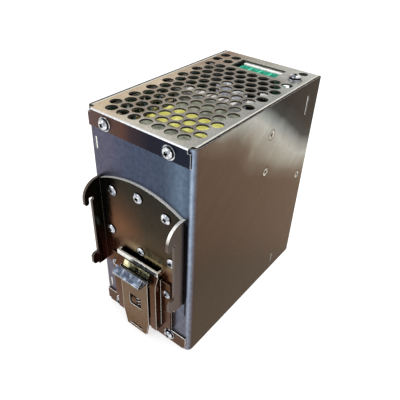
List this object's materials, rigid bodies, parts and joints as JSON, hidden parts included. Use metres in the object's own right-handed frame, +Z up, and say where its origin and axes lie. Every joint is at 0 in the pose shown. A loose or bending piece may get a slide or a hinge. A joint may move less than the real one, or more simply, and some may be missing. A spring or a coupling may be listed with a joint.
{
  "type": "din rail power supply",
  "caption": "Steel-cased rail-mount power supply with vented covers, sprung rail latch, screw terminals and its electronics inside.",
  "frame": {"origin": "centre of the whole outline in plan, on the plane of the case bottom", "axes": "+X across the width, front panel faces -Y, rail clip on +Y, +Z up"},
  "size_m": [0.063, 0.1226, 0.128],
  "materials": {
    "case_steel": "zinc-plated sheet, faint spangle",
    "cover_steel": "zinc-plated sheet, satin",
    "front_metal": "satin anodised",
    "screw_chrome": "bright nickel plate",
    "stud_steel": "bright zinc plate",
    "clip_steel": "polished nickel plate with a warm tint",
    "rivet_steel": "bright zinc plate",
    "spring_steel": "bright drawn wire",
    "board_green": "solder resist on glass laminate",
    "insulation_film": "thin satin film",
    "ferrite": "matt sintered ferrite",
    "copper_wire": "enamelled copper wire",
    "yellow_tape": "polyester tape",
    "ferrite_green": "epoxy coated core",
    "toroid_yellow": "epoxy coated core with copper wire",
    "capacitor_black": "shrink sleeve",
    "capacitor_grey": "pale shrink sleeve",
    "capacitor_cream": "moulded box",
    "capacitor_red": "dipped epoxy",
    "epoxy_black": "moulded epoxy",
    "heatsink_bare": "mill finish",
    "heatsink_black": "black anodised",
    "thermistor_body": "dipped epoxy",
    "fuse_ceramic": "ceramic tube with plated clips",
    "relay_blue": "moulded case",
    "terminal_green": "moulded polyamide",
    "contact_brass": "tinned brass",
    "clamp_screw_steel": "zinc plate",
    "clamp_steel": "zinc plate",
    "trimmer_blue": "moulded case",
    "trimmer_white": "moulded rotor",
    "lamp_green": "tinted lens"
  },
  "bodies": {
    "root": {"chassis": "case_steel", "bottom_cover": "case_steel", "top_cover": "cover_steel", "front_panel": "front_metal", "cover_screws": "screw_chrome", "ground_screw": "screw_chrome", "clip_screws": "screw_chrome", "chassis_studs": "stud_steel", "board_standoffs": "stud_steel", "clip_bracket": "clip_steel", "latch_guide": "clip_steel", "clip_rivets": "rivet_steel", "latch_spring": "spring_steel", "main_board": "board_green", "output_board": "board_green", "input_board": "board_green", "control_board": "board_green", "insulation_sheet": "insulation_film", "transformer_core": "ferrite", "line_choke_core": "ferrite", "transformer_winding": "copper_wire", "boost_choke_winding": "copper_wire", "line_choke_winding": "copper_wire", "transformer_tape": "yellow_tape", "boost_choke_core": "ferrite_green", "output_choke": "toroid_yellow", "bulk_capacitors": "capacitor_black", "output_capacitors": "capacitor_grey", "line_capacitor": "capacitor_cream", "film_capacitor": "capacitor_red", "bridge_rectifier": "epoxy_black", "power_transistors": "epoxy_black", "output_diodes": "epoxy_black", "primary_heatsink": "heatsink_bare", "secondary_heatsink": "heatsink_black", "inrush_thermistor": "thermistor_body", "fuse": "fuse_ceramic", "relay": "relay_blue", "output_terminal": "terminal_green", "input_terminal": "terminal_green", "terminal_contacts": "contact_brass", "trim_pot": "trimmer_blue", "status_led": "lamp_green"},
    "latch": {"latch_slider": "clip_steel"},
    "trim": {"trim_rotor": "trimmer_white"},
    "output_screw_1_body": {"output_screw_1": "clamp_screw_steel"},
    "output_clamp_1_body": {"output_clamp_1": "clamp_steel"},
    "output_screw_2_body": {"output_screw_2": "clamp_screw_steel"},
    "output_clamp_2_body": {"output_clamp_2": "clamp_steel"},
    "output_screw_3_body": {"output_screw_3": "clamp_screw_steel"},
    "output_clamp_3_body": {"output_clamp_3": "clamp_steel"},
    "output_screw_4_body": {"output_screw_4": "clamp_screw_steel"},
    "output_clamp_4_body": {"output_clamp_4": "clamp_steel"},
    "input_screw_1_body": {"input_screw_1": "clamp_screw_steel"},
    "input_clamp_1_body": {"input_clamp_1": "clamp_steel"},
    "input_screw_2_body": {"input_screw_2": "clamp_screw_steel"},
    "input_clamp_2_body": {"input_clamp_2": "clamp_steel"},
    "input_screw_3_body": {"input_screw_3": "clamp_screw_steel"},
    "input_clamp_3_body": {"input_clamp_3": "clamp_steel"}
  },
  "joints": [
    {"name": "latch_slide", "type": "slide", "parent": "root", "child": "latch", "axis": [0, 0, -1], "range_m": [0, 0.006], "stiffness_N_per_m": 900, "springref_m": -0.006, "deforming": ["latch_spring"]},
    {"name": "trim_turn", "type": "hinge", "parent": "root", "child": "trim", "pos_m": [-0.008, -0.05345, 0.092], "axis": [0, 1, 0], "range_deg": [-135, 135]},
    {"name": "output_screw_1_turn", "type": "hinge", "parent": "root", "child": "output_screw_1_body", "pos_m": [-0.00953, -0.05695, 0.1088], "axis": [0, 1, 0], "range_deg": [0, 1872]},
    {"name": "output_clamp_1_slide", "type": "slide", "parent": "root", "child": "output_clamp_1_body", "axis": [0, -1, 0], "range_m": [0, 0.0026]},
    {"name": "output_screw_2_turn", "type": "hinge", "parent": "root", "child": "output_screw_2_body", "pos_m": [-0.00317, -0.05695, 0.1088], "axis": [0, 1, 0], "range_deg": [0, 1872]},
    {"name": "output_clamp_2_slide", "type": "slide", "parent": "root", "child": "output_clamp_2_body", "axis": [0, -1, 0], "range_m": [0, 0.0026]},
    {"name": "output_screw_3_turn", "type": "hinge", "parent": "root", "child": "output_screw_3_body", "pos_m": [0.00317, -0.05695, 0.1088], "axis": [0, 1, 0], "range_deg": [0, 1872]},
    {"name": "output_clamp_3_slide", "type": "slide", "parent": "root", "child": "output_clamp_3_body", "axis": [0, -1, 0], "range_m": [0, 0.0026]},
    {"name": "output_screw_4_turn", "type": "hinge", "parent": "root", "child": "output_screw_4_body", "pos_m": [0.00953, -0.05695, 0.1088], "axis": [0, 1, 0], "range_deg": [0, 1872]},
    {"name": "output_clamp_4_slide", "type": "slide", "parent": "root", "child": "output_clamp_4_body", "axis": [0, -1, 0], "range_m": [0, 0.0026]},
    {"name": "input_screw_1_turn", "type": "hinge", "parent": "root", "child": "input_screw_1_body", "pos_m": [-0.00635, -0.05695, 0.0164], "axis": [0, 1, 0], "range_deg": [0, 1872]},
    {"name": "input_clamp_1_slide", "type": "slide", "parent": "root", "child": "input_clamp_1_body", "axis": [0, -1, 0], "range_m": [0, 0.0026]},
    {"name": "input_screw_2_turn", "type": "hinge", "parent": "root", "child": "input_screw_2_body", "pos_m": [0, -0.05695, 0.0164], "axis": [0, 1, 0], "range_deg": [0, 1872]},
    {"name": "input_clamp_2_slide", "type": "slide", "parent": "root", "child": "input_clamp_2_body", "axis": [0, -1, 0], "range_m": [0, 0.0026]},
    {"name": "input_screw_3_turn", "type": "hinge", "parent": "root", "child": "input_screw_3_body", "pos_m": [0.00635, -0.05695, 0.0164], "axis": [0, 1, 0], "range_deg": [0, 1872]},
    {"name": "input_clamp_3_slide", "type": "slide", "parent": "root", "child": "input_clamp_3_body", "axis": [0, -1, 0], "range_m": [0, 0.0026]}
  ],
  "couplings": [
    {"joint": "output_screw_1_turn", "follows": "output_clamp_1_slide", "rad_per_m": 12566},
    {"joint": "output_screw_2_turn", "follows": "output_clamp_2_slide", "rad_per_m": 12566},
    {"joint": "output_screw_3_turn", "follows": "output_clamp_3_slide", "rad_per_m": 12566},
    {"joint": "output_screw_4_turn", "follows": "output_clamp_4_slide", "rad_per_m": 12566},
    {"joint": "input_screw_1_turn", "follows": "input_clamp_1_slide", "rad_per_m": 12566},
    {"joint": "input_screw_2_turn", "follows": "input_clamp_2_slide", "rad_per_m": 12566},
    {"joint": "input_screw_3_turn", "follows": "input_clamp_3_slide", "rad_per_m": 12566}
  ]
}
